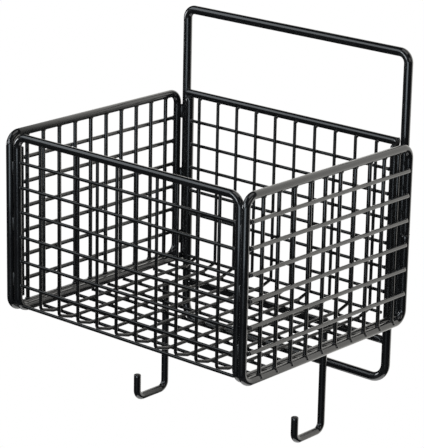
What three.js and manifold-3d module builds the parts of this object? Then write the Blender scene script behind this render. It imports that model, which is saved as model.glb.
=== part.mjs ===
// Hanging wire basket: two rounded side loops carry welded mesh panels, an inverted U frame
// carries the front, and one sheet of bent wires makes the front, the floor and the back.
// A tall loop behind the back hangs the basket up, a second loop reaches below the floor,
// and two J-shaped hooks hang under the floor, each at a crossing of its wires.
//
// Millimetres. X runs across the front, Y runs from the front to the back, Z is up.
// While it is laid out, X = 0 is the middle, Y = 0 is the plane of the side loops' front
// posts and Z = 0 is the centre line of the bottom rails. The finished group is moved so that
// its origin is the hang point: the middle of the underside of the hanger's top bar.

import * as THREE from 'three';
import { mergeVertices } from 'three/addons/utils/BufferGeometryUtils.js';
import Module from 'manifold-3d';

const wasm = await Module();
wasm.setup();

// Wire diameters.
const FRAME_WIRE = 5.6;
const HANGER_WIRE = 6.3;
const LOOP_WIRE = 6.4;
const HOOK_WIRE = 5.2;
const SHEET_WIRE = 2.3;
const SIDE_WIRE = 2.8;

// Clearances between pieces that are welded on the real object.
const WELD_GAP = 0.3;
const LAP_GAP = 0.2;
const LOOP_GAP = 0.4;

// Side loops.
const SIDE_HALF_WIDTH = 106.2;
const DEPTH = 170.5;
const RIM_HEIGHT = 125;
const SIDE_BEND = 8;

// Front frame: an inverted U whose posts turn back at the bottom and become the floor rails.
// It stands just inside the side loops, a little behind their posts and a little lower.
const FRONT_HALF_WIDTH = SIDE_HALF_WIDTH - FRAME_WIRE - LOOP_GAP;
const FRONT_SETBACK = 1.3;
const FRONT_RIM_DROP = 0.5;
const FRONT_TOP_BEND = 8;
const FRONT_FOOT_BEND = 9;

// Hanger loop behind the basket, just inside the side loops and a little behind them.
const HANGER_HALF_WIDTH = SIDE_HALF_WIDTH - FRAME_WIRE / 2 - HANGER_WIRE / 2 - LOOP_GAP;
const HANGER_SETBACK = 3.2;
const HANGER_HEIGHT = 188.1;
const HANGER_BEND = 7;

// Back loop: its legs lie diagonally against the hanger's legs and reach below the floor.
const LEG_SPACING = HANGER_WIRE / 2 + LOOP_WIRE / 2 + WELD_GAP;
const LOOP_HALF_WIDTH = HANGER_HALF_WIDTH - Math.sqrt(LEG_SPACING ** 2 - HANGER_SETBACK ** 2);
const LOOP_DROP = 47.8;
const LOOP_BEND = 12;
const LOOP_CROSS_DROP = 18.5;
const BACK_BAR_LIFT = 1.5;

// Sheet of bent wires: down the front, along the floor and up the back. Its first and last
// rows of cells have sizes of their own, and the cells between share what is left.
const BENT_WIRES = 10;
const OUTER_CELL_INSET = 1.2;
const CELL_WIDTH = (FRONT_HALF_WIDTH - OUTER_CELL_INSET) / ((BENT_WIRES + 1) / 2);
const SHEET_INSET = 4;
const SHEET_FOLD_BEND = 3;
const FOLD_RISE = 3.5;
const FOLD_RUN = 12;
const CROSS_ROWS = 6;
const TOP_CELL_HEIGHT = 18.62;
const FRONT_CELL_HEIGHT = (RIM_HEIGHT - TOP_CELL_HEIGHT) / CROSS_ROWS;
const FLOOR_CROSS_WIRES = 9;
const FLOOR_CROSS_START = 24.1;
const FLOOR_CROSS_END = 16.4;
const FLOOR_CELL_DEPTH =
  (DEPTH - FLOOR_CROSS_START - FLOOR_CROSS_END) / (FLOOR_CROSS_WIRES - 1);

// Welded mesh panels of the side loops, with end cells of their own sizes. The uprights stand
// between the loop's bars; the rows cross outside them and end on the posts. The left panel is
// welded in a little lower than the right one.
const SIDE_UPRIGHT_OFFSET = 0.3;
const SIDE_WELD_SINK = 0.6;
const SIDE_UPRIGHTS = 10;
const SIDE_UPRIGHT_START = 16.5;
const SIDE_UPRIGHT_END = 12.61;
const SIDE_CELL_DEPTH = (DEPTH - SIDE_UPRIGHT_START - SIDE_UPRIGHT_END) / (SIDE_UPRIGHTS - 1);
const RIGHT_ROW_START = 20.6;
const RIGHT_ROW_END = 16.1;
const LEFT_ROW_DROP = 3.5;
const SIDE_CELL_HEIGHT = (RIM_HEIGHT - RIGHT_ROW_START - RIGHT_ROW_END) / (CROSS_ROWS - 1);
const SIDE_ROW_SHORTFALL = 2.7;

// Hooks under the floor. Each shaft stands outside the second bent wire from its side and in
// front of one floor cross wire; the right hook hangs one cell further back.
const CELLS_OUTSIDE_HOOK = 1;
const CELLS_BEFORE_LEFT_HOOK = 6;
const CELLS_BEFORE_RIGHT_HOOK = 7;
const HOOK_DROP = 81.9;
const HOOK_REACH = 29.5;
const HOOK_TIP_RISE = 17.8;
const HOOK_BEND = 5.5;

// Facets of the wires and steps of a right-angle bend.
const THICK_SIDES = 12;
const THIN_SIDES = 8;
const THICK_BEND_STEPS = 5;
const THIN_BEND_STEPS = 3;

// Derived positions.
const HANGER_Y = DEPTH + HANGER_SETBACK;
const SHEET_LAYER = SHEET_WIRE + LAP_GAP;
const FRONT_CROSS_Y = SHEET_INSET - SHEET_LAYER;
const BACK_UPRIGHT_Y = DEPTH - SHEET_INSET;
const BACK_CROSS_Y = BACK_UPRIGHT_Y + SHEET_LAYER;
const BACK_BAR_Z = RIM_HEIGHT + BACK_BAR_LIFT;
const FRONT_BAR_Z = RIM_HEIGHT - FRONT_RIM_DROP;
const EDGE_WIRE_Y = FRONT_SETBACK + FRAME_WIRE / 2 + WELD_GAP + SHEET_WIRE / 2;
const RAIL_INNER_X = FRONT_HALF_WIDTH - FRAME_WIRE / 2 - WELD_GAP;
const LOOP_INNER_X = LOOP_HALF_WIDTH - LOOP_WIRE / 2 - WELD_GAP;
const SIDE_UPRIGHT_X = SIDE_HALF_WIDTH + SIDE_UPRIGHT_OFFSET;
const SIDE_ROW_X = SIDE_UPRIGHT_X + SIDE_WIRE - SIDE_WELD_SINK;
const HOOK_OFFSET = SHEET_WIRE / 2 + WELD_GAP + HOOK_WIRE / 2;
const HOOK_X = ((BENT_WIRES - 1) / 2 - CELLS_OUTSIDE_HOOK) * CELL_WIDTH + HOOK_OFFSET;
const HANG_POINT = new THREE.Vector3(0, HANGER_Y, HANGER_HEIGHT - HANGER_WIRE / 2);

const COAT = { color: 0x16181b, roughness: 0.32, metalness: 0.15 };

const v = (x, y, z) => new THREE.Vector3(x, y, z);

// Centre line of a wire bent to one radius at every corner. Rings stand only at the ends and
// through the bends, so the straight runs stay single facets long.
class BentWirePath extends THREE.Curve {
  constructor(corners, bendRadius, bendSteps) {
    super();
    this.rings = [];
    const last = corners.length - 1;
    corners.forEach((corner, i) => {
      if (i === 0 || i === last) {
        const other = corners[i === 0 ? 1 : last - 1];
        const along = other.clone().sub(corner).multiplyScalar(i === 0 ? 1 : -1);
        this.rings.push({ point: corner.clone(), tangent: along.normalize() });
        return;
      }
      this.addBend(corners[i - 1], corner, corners[i + 1], bendRadius, bendSteps);
    });
  }

  addBend(before, corner, after, radius, stepsPerRightAngle) {
    const incoming = corner.clone().sub(before).normalize();
    const outgoing = after.clone().sub(corner).normalize();
    const turn = incoming.angleTo(outgoing);
    const start = corner.clone().addScaledVector(incoming, -radius * Math.tan(turn / 2));
    const inward = outgoing.clone().addScaledVector(incoming, -incoming.dot(outgoing)).normalize();
    const centre = start.clone().addScaledVector(inward, radius);
    const steps = Math.max(2, Math.round(stepsPerRightAngle * turn / (Math.PI / 2)));
    for (let s = 0; s <= steps; s += 1) {
      const angle = turn * s / steps;
      const point = centre.clone()
        .addScaledVector(inward, -radius * Math.cos(angle))
        .addScaledVector(incoming, radius * Math.sin(angle));
      const tangent = incoming.clone().multiplyScalar(Math.cos(angle))
        .addScaledVector(inward, Math.sin(angle));
      this.rings.push({ point, tangent });
    }
  }

  ringAt(t) {
    return this.rings[Math.round(t * (this.rings.length - 1))];
  }

  getPoint(t) {
    return this.ringAt(t).point.clone();
  }

  getPointAt(u) {
    return this.getPoint(u);
  }

  getTangentAt(u) {
    return this.ringAt(u).tangent.clone();
  }
}

// Round section drawn as a polygon of the same area, with flats facing the axes.
function roundSection(diameter, sides) {
  const step = 2 * Math.PI / sides;
  const radius = diameter / 2 * Math.sqrt(step / Math.sin(step));
  const points = [];
  for (let i = 0; i < sides; i += 1) {
    const angle = (i + 0.5) * step;
    points.push(new THREE.Vector2(Math.cos(angle), Math.sin(angle)).multiplyScalar(radius));
  }
  return new THREE.Shape(points);
}

function positionsOnly(geometry) {
  geometry.deleteAttribute('normal');
  geometry.deleteAttribute('uv');
  return mergeVertices(geometry, 1e-4);
}

function sweep(path, diameter, sides) {
  const geometry = new THREE.ExtrudeGeometry(roundSection(diameter, sides), {
    steps: path.rings.length - 1,
    bevelEnabled: false,
    extrudePath: path,
  });
  return positionsOnly(geometry);
}

function wireGeometry(corners, diameter, sides, bendRadius = 1, bendSteps = 1) {
  return sweep(new BentWirePath(corners, bendRadius, bendSteps), diameter, sides);
}

function toSolid(geometry) {
  return new wasm.Manifold(new wasm.Mesh({
    numProp: 3,
    vertProperties: new Float32Array(geometry.attributes.position.array),
    triVerts: new Uint32Array(geometry.index.array),
  }));
}

function toGeometry(solid) {
  const mesh = solid.getMesh();
  const geometry = new THREE.BufferGeometry();
  geometry.setAttribute('position', new THREE.BufferAttribute(mesh.vertProperties, 3));
  geometry.setIndex(new THREE.BufferAttribute(mesh.triVerts, 1));
  return geometry;
}

const basket = new THREE.Group();

function addPiece(name, geometry) {
  geometry.computeVertexNormals();
  const mesh = new THREE.Mesh(geometry, new THREE.MeshStandardMaterial(COAT));
  mesh.name = name;
  basket.add(mesh);
}

function thickWire(corners, diameter, bendRadius) {
  return wireGeometry(corners, diameter, THICK_SIDES, bendRadius, THICK_BEND_STEPS);
}

function thinWire(corners, diameter) {
  return wireGeometry(corners, diameter, THIN_SIDES, SHEET_FOLD_BEND, THIN_BEND_STEPS);
}

function numbered(prefix, index, width) {
  return `${prefix}_${String(index).padStart(width, '0')}`;
}

// Front frame with its rails, which stop against the hanger's legs.
function addFrontFrame() {
  const x = FRONT_HALF_WIDTH;
  const y = FRONT_SETBACK;
  const railEnd = HANGER_Y - HANGER_WIRE / 2 - WELD_GAP;
  const path = new BentWirePath([v(-x, railEnd, 0), v(-x, y, 0), v(-x, y, RIM_HEIGHT / 2)],
    FRONT_FOOT_BEND, THICK_BEND_STEPS);
  const top = new BentWirePath([v(-x, y, RIM_HEIGHT / 2), v(-x, y, FRONT_BAR_Z),
    v(x, y, FRONT_BAR_Z), v(x, y, RIM_HEIGHT / 2)], FRONT_TOP_BEND, THICK_BEND_STEPS);
  const mirrored = path.rings.map(({ point, tangent }) => ({
    point: v(-point.x, point.y, point.z),
    tangent: v(tangent.x, -tangent.y, -tangent.z),
  })).reverse();
  path.rings = [...path.rings.slice(0, -1), ...top.rings.slice(1, -1), ...mirrored.slice(1)];
  addPiece('front_frame', sweep(path, FRAME_WIRE, THICK_SIDES));
}

// Closed side loop. Its two ends meet at a butt joint half way up the back post.
function sideLoop(side, diameter) {
  const x = side * SIDE_HALF_WIDTH;
  const joint = RIM_HEIGHT / 2;
  return thickWire([
    v(x, DEPTH, joint - WELD_GAP / 2),
    v(x, DEPTH, 0),
    v(x, 0, 0),
    v(x, 0, RIM_HEIGHT),
    v(x, DEPTH, RIM_HEIGHT),
    v(x, DEPTH, joint + WELD_GAP / 2),
  ], diameter, SIDE_BEND);
}

function addHangerAndBackLoop() {
  const hanger = HANGER_HALF_WIDTH;
  const foot = -FRAME_WIRE / 2;
  addPiece('hanger_loop', thickWire([
    v(-hanger, HANGER_Y, foot),
    v(-hanger, HANGER_Y, HANGER_HEIGHT),
    v(hanger, HANGER_Y, HANGER_HEIGHT),
    v(hanger, HANGER_Y, foot),
  ], HANGER_WIRE, HANGER_BEND));

  const barY = BACK_UPRIGHT_Y + SHEET_WIRE / 2 + LAP_GAP + FRAME_WIRE / 2;
  const barEnd = HANGER_HALF_WIDTH - HANGER_WIRE / 2 - WELD_GAP;
  addPiece('back_top_bar',
    thickWire([v(-barEnd, barY, BACK_BAR_Z), v(barEnd, barY, BACK_BAR_Z)], FRAME_WIRE));

  const loopTop = BACK_BAR_Z - FRAME_WIRE / 2 - WELD_GAP;
  const loop = LOOP_HALF_WIDTH;
  addPiece('back_loop', thickWire([
    v(-loop, DEPTH, loopTop),
    v(-loop, DEPTH, -LOOP_DROP),
    v(loop, DEPTH, -LOOP_DROP),
    v(loop, DEPTH, loopTop),
  ], LOOP_WIRE, LOOP_BEND));

  addPiece('loop_cross_bar', thickWire([
    v(-LOOP_INNER_X, DEPTH, -LOOP_CROSS_DROP),
    v(LOOP_INNER_X, DEPTH, -LOOP_CROSS_DROP),
  ], FRAME_WIRE));
}

// Bent wires of the sheet. In front they end under the top bar, and the floor hangs FOLD_RISE
// below the two folds. One more upright stands behind each front post.
function addBentWires() {
  const half = (BENT_WIRES - 1) / 2;
  const frontTop = FRONT_BAR_Z - FRAME_WIRE / 2 - LAP_GAP;
  for (let i = 0; i < BENT_WIRES; i += 1) {
    const x = (i - half) * CELL_WIDTH;
    addPiece(numbered('mesh_wire', i + 1, 2), thinWire([
      v(x, SHEET_INSET, frontTop),
      v(x, SHEET_INSET, FOLD_RISE),
      v(x, SHEET_INSET + FOLD_RUN, 0),
      v(x, BACK_UPRIGHT_Y - FOLD_RUN, 0),
      v(x, BACK_UPRIGHT_Y, FOLD_RISE),
      v(x, BACK_UPRIGHT_Y, RIM_HEIGHT),
    ], SHEET_WIRE));
  }
  const edgeWire = (side) => thinWire([
    v(side * FRONT_HALF_WIDTH, EDGE_WIRE_Y, FRONT_BAR_Z - FRONT_TOP_BEND),
    v(side * FRONT_HALF_WIDTH, EDGE_WIRE_Y, FRONT_FOOT_BEND),
  ], SHEET_WIRE);
  addPiece('edge_wire_left', edgeWire(-1));
  addPiece('edge_wire_right', edgeWire(1));
}

// Place of the cross wire that lies outside a fold, measured from the sheet's corner.
function foldWireOffset() {
  const slope = Math.atan(FOLD_RISE / FOLD_RUN);
  const outgoing = new THREE.Vector2(Math.cos(slope), -Math.sin(slope));
  const bisector = new THREE.Vector2(0, 1).add(outgoing).normalize();
  const toCentre = SHEET_FOLD_BEND / bisector.dot(new THREE.Vector2(1, 0));
  return bisector.multiplyScalar(toCentre - SHEET_FOLD_BEND - SHEET_LAYER);
}

function addCrossWires() {
  const across = (name, halfLength, y, z) => {
    addPiece(name, thinWire([v(-halfLength, y, z), v(halfLength, y, z)], SHEET_WIRE));
  };
  for (let row = 1; row <= CROSS_ROWS; row += 1) {
    const z = row * FRONT_CELL_HEIGHT;
    across(numbered('front_cross_wire', row, 1), RAIL_INNER_X, FRONT_CROSS_Y, z);
    across(numbered('back_cross_wire', row, 1), LOOP_INNER_X, BACK_CROSS_Y, z);
  }
  const fold = foldWireOffset();
  const foldZ = FOLD_RISE + fold.y;
  across('front_fold_wire', RAIL_INNER_X, SHEET_INSET + fold.x, foldZ);
  across('back_fold_wire', LOOP_INNER_X, BACK_UPRIGHT_Y - fold.x, foldZ);
  for (let row = 0; row < FLOOR_CROSS_WIRES; row += 1) {
    const y = FLOOR_CROSS_START + row * FLOOR_CELL_DEPTH;
    across(numbered('floor_cross_wire', row + 1, 1), RAIL_INNER_X, y, -SHEET_LAYER);
  }
}

// Welded mesh panel: the rows lie outside the uprights and sink into them at the crossings.
// Every wire end is cut back to clear the loop that it is welded to.
function addSideMesh(name, side, rowStart) {
  const uprightX = side * SIDE_UPRIGHT_X;
  const rowX = side * SIDE_ROW_X;
  const rowFront = SIDE_ROW_SHORTFALL;
  const rowBack = DEPTH - SIDE_ROW_SHORTFALL;
  const wire = (from, to) => toSolid(wireGeometry([from, to], SIDE_WIRE, THIN_SIDES));
  let panel = wire(v(rowX, rowFront, rowStart), v(rowX, rowBack, rowStart));
  for (let row = 1; row < CROSS_ROWS; row += 1) {
    const z = rowStart + row * SIDE_CELL_HEIGHT;
    panel = panel.add(wire(v(rowX, rowFront, z), v(rowX, rowBack, z)));
  }
  for (let i = 0; i < SIDE_UPRIGHTS; i += 1) {
    const y = SIDE_UPRIGHT_START + i * SIDE_CELL_DEPTH;
    panel = panel.add(wire(v(uprightX, y, 0), v(uprightX, y, RIM_HEIGHT)));
  }
  const clearance = toSolid(sideLoop(side, FRAME_WIRE + 2 * WELD_GAP));
  addPiece(name, toGeometry(panel.subtract(clearance)));
}

// J-shaped hook: the shaft is as high as the bent wire beside it and the tip turns up in front.
function addHook(name, side, cellsBefore) {
  const x = side * HOOK_X;
  const shaftY = FLOOR_CROSS_START + cellsBefore * FLOOR_CELL_DEPTH - HOOK_OFFSET;
  const tipY = shaftY - HOOK_REACH;
  addPiece(name, thickWire([
    v(x, shaftY, SHEET_WIRE / 2),
    v(x, shaftY, -HOOK_DROP),
    v(x, tipY, -HOOK_DROP),
    v(x, tipY, -HOOK_DROP + HOOK_TIP_RISE),
  ], HOOK_WIRE, HOOK_BEND));
}

addFrontFrame();
addPiece('side_frame_left', sideLoop(-1, FRAME_WIRE));
addPiece('side_frame_right', sideLoop(1, FRAME_WIRE));
addHangerAndBackLoop();
addBentWires();
addCrossWires();
addSideMesh('side_mesh_left', -1, RIGHT_ROW_START - LEFT_ROW_DROP);
addSideMesh('side_mesh_right', 1, RIGHT_ROW_START);
addHook('hook_left', -1, CELLS_BEFORE_LEFT_HOOK);
addHook('hook_right', 1, CELLS_BEFORE_RIGHT_HOOK);

basket.position.copy(HANG_POINT).negate();
basket.updateMatrixWorld(true);

export default basket;
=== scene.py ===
"""Hanging wire basket in a black powder coat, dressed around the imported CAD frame.

Lengths in the layout are millimetres: X across the front, Y from front to back, Z up, with
X = 0 in the middle, Y = 0 in the plane of the side loops' front posts and Z = 0 on the bottom
rails.
place() turns a layout point into the row frame in metres, whose origin is the hang point.
"""

import math

import bpy
import numpy as np
from mathutils import Matrix, Vector


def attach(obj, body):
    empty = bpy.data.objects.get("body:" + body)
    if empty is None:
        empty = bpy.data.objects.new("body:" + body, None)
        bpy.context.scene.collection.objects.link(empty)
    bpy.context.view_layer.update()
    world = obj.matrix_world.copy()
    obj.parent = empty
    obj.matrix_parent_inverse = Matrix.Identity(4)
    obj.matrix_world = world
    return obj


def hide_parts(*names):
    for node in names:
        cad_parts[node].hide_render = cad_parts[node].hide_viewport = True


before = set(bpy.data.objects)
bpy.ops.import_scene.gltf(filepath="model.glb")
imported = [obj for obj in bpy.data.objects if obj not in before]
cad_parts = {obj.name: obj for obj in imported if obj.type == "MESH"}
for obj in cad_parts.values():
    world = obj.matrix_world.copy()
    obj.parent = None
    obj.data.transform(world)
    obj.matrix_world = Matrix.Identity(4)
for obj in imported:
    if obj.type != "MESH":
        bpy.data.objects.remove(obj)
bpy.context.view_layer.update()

BODY = "root"
SIDES = (("left", -1), ("right", 1))
ACROSS, BACK, UP = (1, 0, 0), (0, 1, 0), (0, 0, 1)

# Wire diameters.
FRAME_WIRE = 5.6
HANGER_WIRE = 6.3
LOOP_WIRE = 6.4
HOOK_WIRE = 5.2
SHEET_WIRE = 2.3
SIDE_WIRE = 2.8

# Layout, as in the CAD source.
WELD_GAP = 0.3
LAP_GAP = 0.2
LOOP_GAP = 0.4
SIDE_X = 106.2
DEPTH = 170.5
RIM_Z = 125.0
SIDE_BEND = 8.0
FRONT_X = SIDE_X - FRAME_WIRE - LOOP_GAP
FRONT_Y = 1.3
FRONT_BAR_Z = RIM_Z - 0.5
FRONT_TOP_BEND = 8.0
FRONT_FOOT_BEND = 9.0
HANGER_X = SIDE_X - FRAME_WIRE / 2 - HANGER_WIRE / 2 - LOOP_GAP
HANGER_SETBACK = 3.2
HANGER_Y = DEPTH + HANGER_SETBACK
HANGER_Z = 188.1
HANGER_BEND = 7.0
LEG_SPACING = HANGER_WIRE / 2 + LOOP_WIRE / 2 + WELD_GAP
LOOP_X = HANGER_X - math.sqrt(LEG_SPACING ** 2 - HANGER_SETBACK ** 2)
LOOP_DROP = 47.8
LOOP_BEND = 12.0
LOOP_CROSS_DROP = 18.5
BACK_BAR_Z = RIM_Z + 1.5
BENT_WIRES = 10
CELL_X = (FRONT_X - 1.2) / ((BENT_WIRES + 1) / 2)
SHEET_INSET = 4.0
FOLD_BEND = 3.0
FOLD_RISE = 3.5
FOLD_RUN = 12.0
ROWS = 6
FRONT_CELL_Z = (RIM_Z - 18.62) / ROWS
FLOOR_WIRES = 9
FLOOR_START = 24.1
FLOOR_CELL_Y = (DEPTH - FLOOR_START - 16.4) / (FLOOR_WIRES - 1)
SIDE_UPRIGHTS = 10
UPRIGHT_X = SIDE_X + 0.3
ROW_X = UPRIGHT_X + SIDE_WIRE - 0.6
UPRIGHT_START = 16.5
UPRIGHT_CELL_Y = (DEPTH - UPRIGHT_START - 12.61) / (SIDE_UPRIGHTS - 1)
RIGHT_ROW_START = 20.6
LEFT_ROW_DROP = 3.5
ROW_CELL_Z = (RIM_Z - RIGHT_ROW_START - 16.1) / (ROWS - 1)
ROW_SHORTFALL = 2.7
HOOK_OFFSET = SHEET_WIRE / 2 + WELD_GAP + HOOK_WIRE / 2
HOOK_X = ((BENT_WIRES - 1) / 2 - 1) * CELL_X + HOOK_OFFSET
# The floor cross wire, counted from 0, that each hook's top stands against.
HOOK_CELLS = {"left": 6, "right": 7}
HOOK_DROP = 81.9
HOOK_REACH = 29.5
HOOK_TIP_RISE = 17.8
HOOK_BEND = 5.5

SHEET_LAYER = SHEET_WIRE + LAP_GAP
FRONT_CROSS_Y = SHEET_INSET - SHEET_LAYER
BACK_UPRIGHT_Y = DEPTH - SHEET_INSET
BACK_CROSS_Y = BACK_UPRIGHT_Y + SHEET_LAYER
RAIL_INNER_X = FRONT_X - FRAME_WIRE / 2 - WELD_GAP
LOOP_INNER_X = LOOP_X - LOOP_WIRE / 2 - WELD_GAP
EDGE_Y = FRONT_Y + FRAME_WIRE / 2 + WELD_GAP + SHEET_WIRE / 2
HANG_Z = HANGER_Z - HANGER_WIRE / 2
# How far the ends of the side grilles' uprights are sunk into the bars, under their welds.
UPRIGHT_SINK = 0.4

# Sides of a round section, above and up to this diameter, and the step round a bend.
THICK_WIRE = 4
THICK_SIDES = 32
THIN_SIDES = 18
BEND_STEP = math.radians(6)

# A sheared end: (distance from it in shoulders, rub, scale of the section). The shoulder and the
# dome are shares of the diameter.
END_PROFILE = ((0.0, 1.0, 0.80), (0.35, 1.0, 0.94), (1.0, 0.6, 1.0), (4.0, 0.0, 1.0))
END_SHOULDER = 0.12
END_DOME = 0.03

# Half length, half width and half height of the weld nuggets that repeat.
SHEET_NUGGET = (1.25, 1.15, 0.9)
CROSS_END_NUGGET = (1.5, 1.3, 0.7)
GRILLE_NUGGET = (1.7, 1.5, 1.2)
BEAD_ROWS, BEAD_SIDES = 7, 12
BEAD_RUB = 0.3

# Where the thick wires are seamed to each other.
POST_SEAM_ZS = (22, 62, 102)
RAIL_SEAM_YS = (30, 85, 140)
HANGER_SEAM_ZS = (14, 62.5, 111)
LOOP_SEAM_ZS = (8, 62, 104)


def place(points):
    """Layout millimetres to row-frame metres."""
    return (np.asarray(points, float) - (0, HANGER_Y, HANG_Z)) / 1000


# ---------------------------------------------------------------- camera

# Place in layout millimetres, axes in the layout, and focal length for the longer image side.
CAMERA_AT = (991.17, -1050.16, 535.93)
CAMERA_RIGHT = Vector((0.7506365, 0.6604428, 0.0189756))
CAMERA_DOWN = Vector((0.2104427, -0.2117606, -0.9543958))
CAMERA_AHEAD = Vector((-0.6263056, 0.7203976, -0.2979406))
FOCAL_PIXELS = 2293.72
IMAGE_LONG_SIDE = 448


def make_camera():
    data = bpy.data.cameras.new("camera")
    data.sensor_width = 36.0
    data.lens = FOCAL_PIXELS * data.sensor_width / IMAGE_LONG_SIDE
    data.clip_start, data.clip_end = 0.05, 60.0
    camera = bpy.data.objects.new("camera", data)
    turn = Matrix((CAMERA_RIGHT, -CAMERA_DOWN, -CAMERA_AHEAD)).transposed()
    camera.matrix_world = Matrix.Translation(place(CAMERA_AT)) @ turn.to_4x4()
    bpy.context.scene.collection.objects.link(camera)
    bpy.context.scene.camera = camera


make_camera()


# ---------------------------------------------------------------- materials

class Nodes:
    """Short way to add linked shader nodes to one tree."""

    def __init__(self, tree):
        self.tree = tree
        tree.nodes.clear()

    def add(self, kind, **values):
        """Adds a node; inputs are linked where they are sockets and set where they are values."""
        node = self.tree.nodes.new(kind)
        inputs = values.pop("inputs", {})
        for key, value in values.items():
            setattr(node, key, value)
        for key, value in inputs.items():
            if isinstance(value, bpy.types.NodeSocket):
                self.tree.links.new(value, node.inputs[key])
            else:
                node.inputs[key].default_value = value
        return node

    def math(self, operation, a, b, clamp=False):
        node = self.add("ShaderNodeMath", operation=operation, use_clamp=clamp,
                        inputs={0: a, 1: b})
        return node.outputs[0]

    def ramp(self, value, low, high, to_low=0.0, to_high=1.0):
        node = self.add("ShaderNodeMapRange", interpolation_type="SMOOTHSTEP",
                        inputs={"Value": value, "From Min": low, "From Max": high,
                                "To Min": to_low, "To Max": to_high})
        return node.outputs["Result"]

    def noise(self, where, scale, detail, roughness):
        node = self.add("ShaderNodeTexNoise", inputs={
            "Vector": where, "Scale": scale, "Detail": detail, "Roughness": roughness})
        return node.outputs["Fac"]

    def blend(self, factor, a, b):
        node = self.add("ShaderNodeMix", data_type="RGBA", inputs={0: factor, 6: a, 7: b})
        return node.outputs[2]


def new_material(name):
    """A material, and the short way to add nodes to its emptied tree."""
    material = bpy.data.materials.new(name)
    material.use_nodes = True
    return material, Nodes(material.node_tree)


RUBBED_COLOUR = (0.040, 0.041, 0.044, 1.0)
SPECK_COLOUR = (0.050, 0.048, 0.045, 1.0)
COAT_ROUGHNESS = 0.08


def coat_material(name, deep, thin, smooth, rough, peel, ior=1.7, coat_weight=0.75):
    """Glossy powder coat: orange-peel ripple, fine grain, colour drift and rubbed bends.

    Its colour drifts between deep and thin and its roughness between smooth and rough; peel is
    the strength of the ripple.
    """
    material, n = new_material(name)
    where = n.add("ShaderNodeTexCoord").outputs["Object"]
    rub = n.add("ShaderNodeAttribute", attribute_name="rub").outputs["Fac"]
    drift = n.noise(where, scale=38.0, detail=3.0, roughness=0.6)
    ripple = n.noise(where, scale=420.0, detail=2.0, roughness=0.5)
    grain = n.noise(where, scale=1900.0, detail=2.0, roughness=0.6)
    dust = n.noise(where, scale=900.0, detail=1.0, roughness=0.4)
    patches = n.noise(where, scale=240.0, detail=3.0, roughness=0.65)
    specks = n.ramp(dust, 0.70, 0.78)
    rubbed = n.math("MULTIPLY", rub, n.ramp(patches, 0.42, 0.62))
    coat = n.blend(drift, deep, thin)
    worn = n.blend(n.math("MULTIPLY", rubbed, 0.35), coat, RUBBED_COLOUR)
    colour = n.blend(n.math("MULTIPLY", specks, 0.20), worn, SPECK_COLOUR)
    dull = n.ramp(drift, 0.3, 0.7, smooth, rough)
    dull = n.math("SUBTRACT", dull, n.math("MULTIPLY", rubbed, 0.06))
    dull = n.math("ADD", dull, n.math("MULTIPLY", specks, 0.12), clamp=True)
    height = n.math("ADD", ripple, n.math("MULTIPLY", grain, 0.35))
    bump = n.add("ShaderNodeBump", inputs={
        "Height": height, "Strength": peel, "Distance": 0.00012})
    shader = n.add("ShaderNodeBsdfPrincipled", inputs={
        "Base Color": colour, "Roughness": dull, "Normal": bump.outputs[0], "Metallic": 0.0,
        "IOR": ior, "Coat Weight": coat_weight, "Coat Roughness": COAT_ROUGHNESS})
    n.add("ShaderNodeOutputMaterial", inputs={0: shader.outputs[0]})
    return material


def cut_end_material():
    """Sheared wire end under a thin coat: dull, lighter, with shear marks across it."""
    material, n = new_material("cut_end")
    where = n.add("ShaderNodeTexCoord").outputs["Object"]
    marks = n.add("ShaderNodeTexWave", bands_direction="DIAGONAL", inputs={
        "Vector": where, "Scale": 900.0, "Distortion": 3.0, "Detail": 2.0}).outputs["Fac"]
    patch = n.noise(where, scale=700.0, detail=3.0, roughness=0.6)
    colour = n.blend(patch, (0.030, 0.031, 0.033, 1.0), (0.085, 0.084, 0.082, 1.0))
    bump = n.add("ShaderNodeBump", inputs={"Height": marks, "Strength": 0.3, "Distance": 0.0001})
    shader = n.add("ShaderNodeBsdfPrincipled", inputs={
        "Base Color": colour, "Roughness": n.ramp(patch, 0.3, 0.7, 0.38, 0.55),
        "Normal": bump.outputs[0], "Metallic": 0.3, "IOR": 1.5})
    n.add("ShaderNodeOutputMaterial", inputs={0: shader.outputs[0]})
    return material


FRAME_COAT = coat_material(
    "frame_coat", deep=(0.0035, 0.0040, 0.0050, 1.0), thin=(0.0058, 0.0062, 0.0070, 1.0),
    smooth=0.12, rough=0.20, peel=0.055)
# Painted shade: the sheet's wires wear the same black coat as the frame. This copy has a lower
# IOR, a thinner clear coat and a slightly darker colour, so its wires reflect less and stay black.
SHEET_COAT_PAINTED_SHADE = coat_material(
    "sheet_coat_painted_shade", deep=(0.0034, 0.0036, 0.0040, 1.0), thin=(0.0054, 0.0054, 0.0056, 1.0),
    smooth=0.14, rough=0.22, peel=0.08, ior=1.5, coat_weight=0.4)
# Painted sheen: the side grilles wear the same black coat too. This copy has a higher IOR, a full
# clear coat and a slightly lighter colour than the sheet's, so its rows show brighter reflections.
GRILLE_COAT_PAINTED_SHEEN = coat_material(
    "grille_coat_painted_sheen", deep=(0.0038, 0.0040, 0.0042, 1.0), thin=(0.0060, 0.0060, 0.0058, 1.0),
    smooth=0.14, rough=0.22, peel=0.08, ior=1.75, coat_weight=1.0)
WELD_COAT = coat_material(
    "weld_coat", deep=(0.0045, 0.0045, 0.0050, 1.0), thin=(0.0090, 0.0088, 0.0086, 1.0),
    smooth=0.26, rough=0.42, peel=0.50)
CUT_END = cut_end_material()


# ---------------------------------------------------------------- wires

class Shape:
    """Vertices, faces, face materials and rub values of one piece, in layout millimetres."""

    def __init__(self):
        self.points = []
        self.faces = []
        self.kinds = []
        self.rubs = []

    def add(self, points, faces, kinds, rubs):
        base = len(self.points)
        self.points.extend(points)
        self.faces.extend([[base + i for i in face] for face in faces])
        self.kinds.extend(kinds)
        self.rubs.extend(rubs)


def unit(vector):
    return vector / np.linalg.norm(vector)


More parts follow.
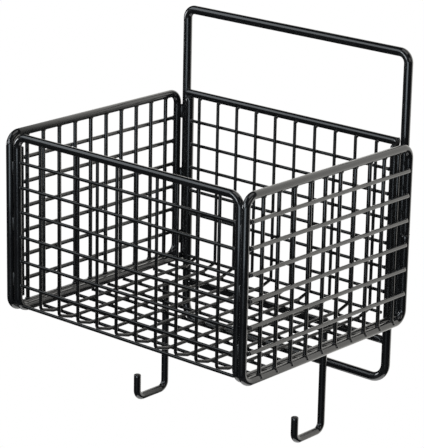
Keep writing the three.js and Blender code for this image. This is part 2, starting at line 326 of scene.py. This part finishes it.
def centre_line(corners, radius):
    """(point, tangent, bend amount) rings along a wire that is bent at each inner corner."""
    corners = [np.asarray(c, float) for c in corners]
    radii = radius if isinstance(radius, (list, tuple)) else [radius] * (len(corners) - 2)
    first, last = unit(corners[1] - corners[0]), unit(corners[-1] - corners[-2])
    rings = [(corners[0], first, 0.0)]
    for i in range(1, len(corners) - 1):
        before = unit(corners[i] - corners[i - 1])
        after = unit(corners[i + 1] - corners[i])
        turn = math.acos(np.clip(before @ after, -1, 1))
        bend = radii[i - 1]
        start = corners[i] - before * bend * math.tan(turn / 2)
        inward = unit(after - before * (before @ after))
        centre = start + inward * bend
        steps = max(3, math.ceil(turn / BEND_STEP))
        for s in range(steps + 1):
            a = turn * s / steps
            point = centre - inward * bend * math.cos(a) + before * bend * math.sin(a)
            tangent = before * math.cos(a) + inward * math.sin(a)
            rings.append((point, tangent, math.sin(math.pi * s / steps)))
    rings.append((corners[-1], last, 0.0))
    return rings


def rolled_ends(rings, diameter):
    """Adds the short shoulder of a sheared end at both ends: (point, tangent, rub, scale)."""
    shoulder = END_SHOULDER * diameter
    (p0, t0, _), (p1, t1, _) = rings[0], rings[-1]
    body = [(p, t, r, 1.0) for p, t, r in rings[1:-1]]
    head = [(p0 + t0 * shoulder * far, t0, rub, scale) for far, rub, scale in END_PROFILE]
    tail = [(p1 - t1 * shoulder * far, t1, rub, scale)
            for far, rub, scale in reversed(END_PROFILE)]
    return head + body + tail


def add_wire(shape, corners, diameter, radius=1.0):
    """Sweeps a round section along the bent wire and closes it with slightly domed ends."""
    sides = THICK_SIDES if diameter > THICK_WIRE else THIN_SIDES
    rings = rolled_ends(centre_line(corners, radius), diameter)
    tangent = rings[0][1]
    side = unit(np.cross(tangent, (0.31, 0.52, 0.79)))
    points, rubs = [], []
    for point, along, rub, scale in rings:
        side = unit(side - along * (side @ along))
        up = np.cross(along, side)
        for k in range(sides):
            a = 2 * math.pi * k / sides
            offset = (side * math.cos(a) + up * math.sin(a)) * diameter / 2 * scale
            points.append(point + offset)
            rubs.append(rub)
    count = len(rings)
    faces, kinds = [], []
    for i in range(count - 1):
        for k in range(sides):
            m = (k + 1) % sides
            faces.append([i * sides + k, i * sides + m, (i + 1) * sides + m, (i + 1) * sides + k])
            kinds.append(0)
    dome = END_DOME * diameter
    for ring, sign in ((0, -1), (count - 1, 1)):
        point, along = rings[ring][0], rings[ring][1]
        points.append(point + along * sign * dome)
        rubs.append(1.0)
        hub = len(points) - 1
        for k in range(sides):
            m = (k + 1) % sides
            a, b = ring * sides + k, ring * sides + m
            faces.append([a, b, hub] if sign > 0 else [b, a, hub])
            kinds.append(1)
    shape.add(points, faces, kinds, rubs)


def add_bead(shape, centre, axis, halves, normal=(0.3, 0.5, 0.81)):
    """Small rounded weld nugget, from its half length along the axis, half width and half height.

    The height is measured along the normal.
    """
    centre = np.asarray(centre, float)
    half_length, half_width, half_height = halves
    axis = unit(np.asarray(axis, float))
    normal = np.asarray(normal, float)
    high = unit(normal - axis * (normal @ axis))
    wide = np.cross(high, axis)
    points = [centre - axis * half_length]
    for i in range(1, BEAD_ROWS):
        a = math.pi * i / BEAD_ROWS
        for k in range(BEAD_SIDES):
            b = 2 * math.pi * k / BEAD_SIDES
            ring = wide * math.cos(b) * half_width + high * math.sin(b) * half_height
            points.append(centre - axis * half_length * math.cos(a) + ring * math.sin(a) ** 0.8)
    points.append(centre + axis * half_length)
    last = len(points) - 1
    faces = []
    for k in range(BEAD_SIDES):
        m = (k + 1) % BEAD_SIDES
        faces.append([0, 1 + m, 1 + k])
        faces.append([last, last - BEAD_SIDES + k, last - BEAD_SIDES + m])
        for i in range(BEAD_ROWS - 2):
            a, b = 1 + i * BEAD_SIDES, 1 + (i + 1) * BEAD_SIDES
            faces.append([a + k, a + m, b + m, b + k])
    shape.add(points, faces, [0] * len(faces), [BEAD_RUB] * len(points))


def make_piece(name, shape, material, nodes=()):
    """Makes the object, lets it ride on the body and stand for its CAD nodes."""
    mesh = bpy.data.meshes.new(name)
    mesh.from_pydata([tuple(p) for p in place(shape.points)], [], shape.faces)
    mesh.materials.append(material)
    mesh.materials.append(CUT_END)
    mesh.polygons.foreach_set("material_index", shape.kinds)
    mesh.polygons.foreach_set("use_smooth", [True] * len(shape.faces))
    rub = mesh.attributes.new("rub", "FLOAT", "POINT")
    rub.data.foreach_set("value", np.asarray(shape.rubs, np.float32))
    mesh.set_sharp_from_angle(angle=math.radians(50))
    mesh.update()
    piece = bpy.data.objects.new(name, mesh)
    bpy.context.scene.collection.objects.link(piece)
    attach(piece, BODY)
    if nodes:
        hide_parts(*nodes)


def wire_piece(node, corners, diameter, material, radius=1.0):
    shape = Shape()
    add_wire(shape, corners, diameter, radius)
    make_piece("coated_" + node, shape, material, [node])


def make_frames():
    x, y, z = FRONT_X, FRONT_Y, FRONT_BAR_Z
    rail_end = HANGER_Y - HANGER_WIRE / 2 - WELD_GAP
    wire_piece("front_frame", [
        (-x, rail_end, 0), (-x, y, 0), (-x, y, z), (x, y, z), (x, y, 0), (x, rail_end, 0),
    ], FRAME_WIRE, FRAME_COAT, [FRONT_FOOT_BEND, FRONT_TOP_BEND, FRONT_TOP_BEND, FRONT_FOOT_BEND])
    joint = RIM_Z / 2
    for name, side in SIDES:
        x = side * SIDE_X
        wire_piece("side_frame_" + name, [
            (x, DEPTH, joint - WELD_GAP / 2), (x, DEPTH, 0), (x, 0, 0), (x, 0, RIM_Z),
            (x, DEPTH, RIM_Z), (x, DEPTH, joint + WELD_GAP / 2),
        ], FRAME_WIRE, FRAME_COAT, SIDE_BEND)
    x, foot = HANGER_X, -FRAME_WIRE / 2
    wire_piece("hanger_loop", [
        (-x, HANGER_Y, foot), (-x, HANGER_Y, HANGER_Z), (x, HANGER_Y, HANGER_Z),
        (x, HANGER_Y, foot),
    ], HANGER_WIRE, FRAME_COAT, HANGER_BEND)
    bar_y = BACK_UPRIGHT_Y + SHEET_WIRE / 2 + LAP_GAP + FRAME_WIRE / 2
    bar_x = HANGER_X - HANGER_WIRE / 2 - WELD_GAP
    wire_piece("back_top_bar", [(-bar_x, bar_y, BACK_BAR_Z), (bar_x, bar_y, BACK_BAR_Z)],
               FRAME_WIRE, FRAME_COAT)
    x, top = LOOP_X, BACK_BAR_Z - FRAME_WIRE / 2 - WELD_GAP
    wire_piece("back_loop", [
        (-x, DEPTH, top), (-x, DEPTH, -LOOP_DROP), (x, DEPTH, -LOOP_DROP), (x, DEPTH, top),
    ], LOOP_WIRE, FRAME_COAT, LOOP_BEND)
    x, z = LOOP_INNER_X, -LOOP_CROSS_DROP
    wire_piece("loop_cross_bar", [(-x, DEPTH, z), (x, DEPTH, z)], FRAME_WIRE, FRAME_COAT)


def fold_wire_offset():
    """Place of the cross wire that lies outside a fold, measured from the sheet's corner."""
    slope = math.atan(FOLD_RISE / FOLD_RUN)
    bisector = unit(np.array((math.cos(slope), 1 - math.sin(slope))))
    to_centre = FOLD_BEND / bisector[0]
    return bisector * (to_centre - FOLD_BEND - SHEET_LAYER)


def bent_wire_xs():
    half = (BENT_WIRES - 1) / 2
    return [(i - half) * CELL_X for i in range(BENT_WIRES)]


def cross_wire_zs():
    return [row * FRONT_CELL_Z for row in range(1, ROWS + 1)]


def floor_wire_ys():
    return [FLOOR_START + row * FLOOR_CELL_Y for row in range(FLOOR_WIRES)]


def make_sheet():
    front_top = FRONT_BAR_Z - FRAME_WIRE / 2 - LAP_GAP
    for i, x in enumerate(bent_wire_xs()):
        wire_piece(f"mesh_wire_{i + 1:02d}", [
            (x, SHEET_INSET, front_top), (x, SHEET_INSET, FOLD_RISE),
            (x, SHEET_INSET + FOLD_RUN, 0), (x, BACK_UPRIGHT_Y - FOLD_RUN, 0),
            (x, BACK_UPRIGHT_Y, FOLD_RISE), (x, BACK_UPRIGHT_Y, RIM_Z),
        ], SHEET_WIRE, SHEET_COAT_PAINTED_SHADE, FOLD_BEND)
    for name, side in SIDES:
        x = side * FRONT_X
        wire_piece("edge_wire_" + name, [
            (x, EDGE_Y, FRONT_BAR_Z - FRONT_TOP_BEND), (x, EDGE_Y, FRONT_FOOT_BEND),
        ], SHEET_WIRE, SHEET_COAT_PAINTED_SHADE)
    rows = []
    for row, z in enumerate(cross_wire_zs(), 1):
        rows.append((f"front_cross_wire_{row}", RAIL_INNER_X, FRONT_CROSS_Y, z))
        rows.append((f"back_cross_wire_{row}", LOOP_INNER_X, BACK_CROSS_Y, z))
    fold_y, fold_z = fold_wire_offset()
    rows.append(("front_fold_wire", RAIL_INNER_X, SHEET_INSET + fold_y, FOLD_RISE + fold_z))
    rows.append(("back_fold_wire", LOOP_INNER_X, BACK_UPRIGHT_Y - fold_y, FOLD_RISE + fold_z))
    for row, y in enumerate(floor_wire_ys(), 1):
        rows.append((f"floor_cross_wire_{row}", RAIL_INNER_X, y, -SHEET_LAYER))
    for name, x, y, z in rows:
        wire_piece(name, [(-x, y, z), (x, y, z)], SHEET_WIRE, SHEET_COAT_PAINTED_SHADE)


def row_zs(side):
    start = RIGHT_ROW_START - (LEFT_ROW_DROP if side < 0 else 0)
    return [start + k * ROW_CELL_Z for k in range(ROWS)]


def upright_ys():
    return [UPRIGHT_START + k * UPRIGHT_CELL_Y for k in range(SIDE_UPRIGHTS)]


def make_side_meshes():
    low = FRAME_WIRE / 2 - UPRIGHT_SINK
    for name, side in SIDES:
        shape = Shape()
        x = side * ROW_X
        for z in row_zs(side):
            add_wire(shape, [(x, ROW_SHORTFALL, z), (x, DEPTH - ROW_SHORTFALL, z)], SIDE_WIRE)
        x = side * UPRIGHT_X
        for y in upright_ys():
            add_wire(shape, [(x, y, low), (x, y, RIM_Z - low)], SIDE_WIRE)
        make_piece("coated_side_mesh_" + name, shape, GRILLE_COAT_PAINTED_SHEEN, ["side_mesh_" + name])


def hook_shaft_y(name):
    return floor_wire_ys()[HOOK_CELLS[name]] - HOOK_OFFSET


def make_hooks():
    for name, side in SIDES:
        x = side * HOOK_X
        shaft_y = hook_shaft_y(name)
        tip_y = shaft_y - HOOK_REACH
        wire_piece("hook_" + name, [
            (x, shaft_y, SHEET_WIRE / 2), (x, shaft_y, -HOOK_DROP), (x, tip_y, -HOOK_DROP),
            (x, tip_y, -HOOK_DROP + HOOK_TIP_RISE),
        ], HOOK_WIRE, FRAME_COAT, HOOK_BEND)


# ---------------------------------------------------------------- welds

def make_sheet_welds():
    """A flattened nugget at each crossing of the bent wires with their cross wires."""
    shape = Shape()
    mid = SHEET_LAYER / 2
    for x in bent_wire_xs():
        for z in cross_wire_zs():
            add_bead(shape, (x, SHEET_INSET - mid, z), UP, SHEET_NUGGET, BACK)
            add_bead(shape, (x, BACK_UPRIGHT_Y + mid, z), UP, SHEET_NUGGET, BACK)
        for y in floor_wire_ys():
            add_bead(shape, (x, y, -mid), BACK, SHEET_NUGGET, UP)
    make_piece("sheet_welds", shape, WELD_COAT)


def make_side_welds():
    """Nuggets of the side grilles, and the ends of their uprights, pressed flat over the bars."""
    for name, side in SIDES:
        shape = Shape()
        for y in upright_ys():
            for z in row_zs(side):
                x = side * (UPRIGHT_X + ROW_X) / 2
                add_bead(shape, (x, y, z), BACK, GRILLE_NUGGET, ACROSS)
            for z, up in ((FRAME_WIRE / 2, 1), (RIM_Z - FRAME_WIRE / 2, -1)):
                add_bead(shape, (side * UPRIGHT_X, y, z + 0.2 * up), BACK, (2.0, 1.75, 0.75), UP)
            add_bead(shape, (side * (SIDE_X + 1.9), y, 1.9), (side * 0.62, 0, -0.78),
                     (2.3, 1.35, 0.75), (side * 0.78, 0, 0.62))
            add_bead(shape, (side * (SIDE_X + 1.5), y, RIM_Z - 2.3), (side * 0.8, 0, 0.6),
                     (1.5, 1.35, 0.6), (side * 0.6, 0, -0.8))
        for z in row_zs(side):
            for y, inward in ((ROW_SHORTFALL, 1), (DEPTH - ROW_SHORTFALL, -1)):
                x = side * (ROW_X - 0.75)
                add_bead(shape, (x, y - 0.3 * inward, z), UP, (1.9, 1.3, 1.1), ACROSS)
        make_piece("side_welds_" + name, shape, WELD_COAT)


def make_frame_welds():
    """Short seams where the thick wires lie against each other."""
    shape = Shape()
    for side in (-1, 1):
        seam_x = side * (SIDE_X + FRONT_X) / 2
        for z in POST_SEAM_ZS:
            add_bead(shape, (seam_x - side * 0.3, -0.5, z), UP, (5.0, 0.9, 0.9))
        for y in RAIL_SEAM_YS:
            add_bead(shape, (seam_x, y, -1.3), BACK, (5.0, 0.9, 0.9))
        seam_y = (DEPTH + HANGER_Y) / 2
        seam_x = side * (SIDE_X + HANGER_X) / 2
        for z in HANGER_SEAM_ZS:
            add_bead(shape, (seam_x, seam_y, z), UP, (5.5, 1.5, 1.5))
        seam_x = side * (HANGER_X + LOOP_X) / 2
        for z in LOOP_SEAM_ZS:
            add_bead(shape, (seam_x, seam_y, z), UP, (5.0, 1.6, 1.6))
        bar_x = side * (HANGER_X - HANGER_WIRE / 2 - WELD_GAP)
        add_bead(shape, (bar_x, DEPTH + 0.9, BACK_BAR_Z), UP, (3.0, 0.8, 0.8))
        add_bead(shape, (side * LOOP_X, DEPTH + 0.3, BACK_BAR_Z - FRAME_WIRE / 2 - 0.1), ACROSS,
                 (2.8, 2.0, 0.7), UP)
        add_bead(shape, (side * LOOP_INNER_X, DEPTH, -LOOP_CROSS_DROP), UP, (3.0, 2.2, 0.8),
                 ACROSS)
        add_bead(shape, (side * FRONT_X, HANGER_Y - HANGER_WIRE / 2 - 0.1, 0), ACROSS,
                 (2.6, 1.8, 0.7), BACK)
        add_bead(shape, (side * SIDE_X, DEPTH, RIM_Z / 2), ACROSS, (2.95, 2.95, 0.5), UP)
    for x in bent_wire_xs():
        add_bead(shape, (x, 3.4, FRONT_BAR_Z - 2.75), ACROSS, (1.7, 1.3, 0.6), UP)
        add_bead(shape, (x, BACK_UPRIGHT_Y + 1.25, RIM_Z - 0.6), ACROSS, (1.3, 1.0, 0.6), BACK)
    make_piece("frame_welds", shape, WELD_COAT)


def make_cross_wire_welds():
    """Nuggets where the cross wires end on the posts, rails and loop legs."""
    shape = Shape()
    for side in (-1, 1):
        for z in cross_wire_zs():
            for x, y in ((RAIL_INNER_X, FRONT_CROSS_Y), (LOOP_INNER_X, BACK_CROSS_Y)):
                add_bead(shape, (side * (x + 0.1), y, z), UP, CROSS_END_NUGGET, ACROSS)
        for y in floor_wire_ys():
            add_bead(shape, (side * (RAIL_INNER_X + 0.25), y, -SHEET_LAYER), BACK,
                     (1.5, 1.25, 0.8), ACROSS)
    make_piece("cross_wire_welds", shape, WELD_COAT)


def make_hook_welds():
    shape = Shape()
    for name, side in SIDES:
        shaft_y = hook_shaft_y(name)
        contact_x = side * (HOOK_X - HOOK_WIRE / 2 - WELD_GAP / 2)
        add_bead(shape, (contact_x, shaft_y, 0), BACK, (2.3, 1.2, 0.7), ACROSS)
        contact_y = shaft_y + HOOK_WIRE / 2 + WELD_GAP / 2
        add_bead(shape, (side * HOOK_X, contact_y, -SHEET_LAYER), ACROSS, (2.5, 1.2, 0.7), BACK)
    make_piece("hook_welds", shape, WELD_COAT)


make_frames()
make_sheet()
make_side_meshes()
make_hooks()
make_sheet_welds()
make_side_welds()
make_frame_welds()
make_cross_wire_welds()
make_hook_welds()


# ---------------------------------------------------------------- stage and light

WHITE = (1.0, 1.0, 1.0, 1.0)
SUBJECT = Vector((0.0, -0.09, -0.12))
# Strength of the world on matt surfaces.
PLAIN_LIGHT = 0.55

FLOOR_Z = -0.95
FLOOR_RADIUS = 0.45
FLOOR_CORNERS = 96
FLOOR_PAINT = (0.62, 0.62, 0.61, 1.0)
FLOOR_GLOW = 0.55

# The backdrop as gloss sees it: the shares of a ray towards the back at which it starts and is
# full, its tint and strength, and the strength of the dark room beside it.
BACKDROP_START, BACKDROP_FULL = 0.655, 0.715
BACKDROP_TINT = (1.0, 0.985, 0.94, 1.0)
BACKDROP = 1.0
DARK_ROOM = 0.01

# Name, direction from the basket, distance, width, height, radiance, colour, and the direction of
# the width where it isn't level. The corner and left lamps are there for the bends.
LAMPS = (
    ("high_left", (-0.626, -0.50, 0.60), 1.2, 1.0, 0.70, 1.15, (0.88, 0.95, 1.0)),
    ("front", (0.39, -0.92, -0.11), 1.6, 1.1, 0.55, 1.45, (0.80, 0.91, 1.0)),
    ("low_front", (0.39, -0.92, -0.42), 1.7, 1.1, 0.60, 0.07, (0.85, 0.93, 1.0)),
    ("corner", (-0.12, -0.90, 0.31), 1.3, 0.84, 0.34, 4.2, (0.88, 0.95, 1.0), (0.75, 0.0, -0.60)),
    ("left", (-0.92, -0.39, 0.0), 1.4, 0.36, 0.30, 6.0, (0.94, 0.97, 1.0)),
    ("overhead", (0.20, 0.0, 0.98), 1.3, 1.0, 1.0, 0.7, (1.0, 1.0, 1.0)),
    ("right", (1.0, -0.05, 0.42), 1.4, 0.9, 0.5, 0.7, (1.0, 0.98, 0.95)),
)


def background_rays(n):
    """Is Camera Ray, and 1 for every ray that shows the background: metal and glass see it too."""
    path = n.add("ShaderNodeLightPath").outputs
    seen = n.math("ADD", path["Is Camera Ray"], path["Is Glossy Ray"], clamp=True)
    return path["Is Camera Ray"], n.math("ADD", seen, path["Is Transmission Ray"], clamp=True)


def make_floor():
    """Pale floor far below the hanging basket, white as the background but with its shadow."""
    mesh = bpy.data.meshes.new("floor")
    rim = [2 * math.pi * k / FLOOR_CORNERS for k in range(FLOOR_CORNERS)]
    mesh.from_pydata([(FLOOR_RADIUS * math.cos(a), FLOOR_RADIUS * math.sin(a), FLOOR_Z)
                      for a in rim], [], [list(range(FLOOR_CORNERS))])
    floor = bpy.data.objects.new("floor", mesh)
    bpy.context.scene.collection.objects.link(floor)
    material, n = new_material("pale_floor")
    _, seen = background_rays(n)
    paint = n.add("ShaderNodeBsdfDiffuse", inputs={"Color": FLOOR_PAINT})
    glow = n.add("ShaderNodeEmission", inputs={
        "Color": WHITE, "Strength": n.math("MULTIPLY", seen, FLOOR_GLOW)})
    both = n.add("ShaderNodeAddShader", inputs={0: paint.outputs[0], 1: glow.outputs[0]})
    n.add("ShaderNodeOutputMaterial", inputs={0: both.outputs[0]})
    mesh.materials.append(material)


def make_world():
    """White backdrop behind the basket and a dark room in front of it, under a plain soft light.

    The camera sees white all round. Gloss sees the backdrop where it stands, which greys the
    side bars, and the dark room elsewhere, which keeps the front black.
    """
    world = bpy.data.worlds.new("studio")
    bpy.context.scene.world = world
    world.use_nodes = True
    n = Nodes(world.node_tree)
    camera_ray, seen = background_rays(n)
    direction = n.add("ShaderNodeTexCoord").outputs["Generated"]
    toward_back = n.add("ShaderNodeVectorMath", operation="DOT_PRODUCT",
                        inputs={0: direction, 1: (0.0, 1.0, 0.05)})
    backdrop = n.ramp(toward_back.outputs["Value"], BACKDROP_START, BACKDROP_FULL,
                      DARK_ROOM, BACKDROP)
    tint = n.blend(camera_ray, BACKDROP_TINT, WHITE)
    background = n.add("ShaderNodeBackground", inputs={
        "Color": tint, "Strength": n.math("MAXIMUM", camera_ray, backdrop)})
    light = n.add("ShaderNodeBackground", inputs={"Color": WHITE, "Strength": PLAIN_LIGHT})
    mixed = n.add("ShaderNodeMixShader", inputs={
        0: seen, 1: light.outputs[0], 2: background.outputs[0]})
    n.add("ShaderNodeOutputWorld", inputs={0: mixed.outputs[0]})


def softbox(name, direction, distance, width, height, radiance, colour, along=None):
    """Area lamp that looks as bright as radiance from the basket and stays out of the picture.

    Its width runs along the given vector, or level where there is none.
    """
    away = Vector(direction).normalized()
    level = Vector(along) if along else Vector(UP).cross(away)
    wide = (level - away * level.dot(away)).normalized()
    data = bpy.data.lights.new(name, "AREA")
    data.shape = "RECTANGLE"
    data.size, data.size_y = width, height
    data.energy = radiance * math.pi * width * height
    data.color = colour
    lamp = bpy.data.objects.new(name, data)
    turn = Matrix((wide, away.cross(wide), away)).transposed()
    lamp.matrix_world = Matrix.Translation(SUBJECT + away * distance) @ turn.to_4x4()
    lamp.visible_camera = False
    bpy.context.scene.collection.objects.link(lamp)


make_floor()
make_world()
for lamp_values in LAMPS:
    softbox(*lamp_values)
bpy.context.scene.view_settings.view_transform = "Standard"
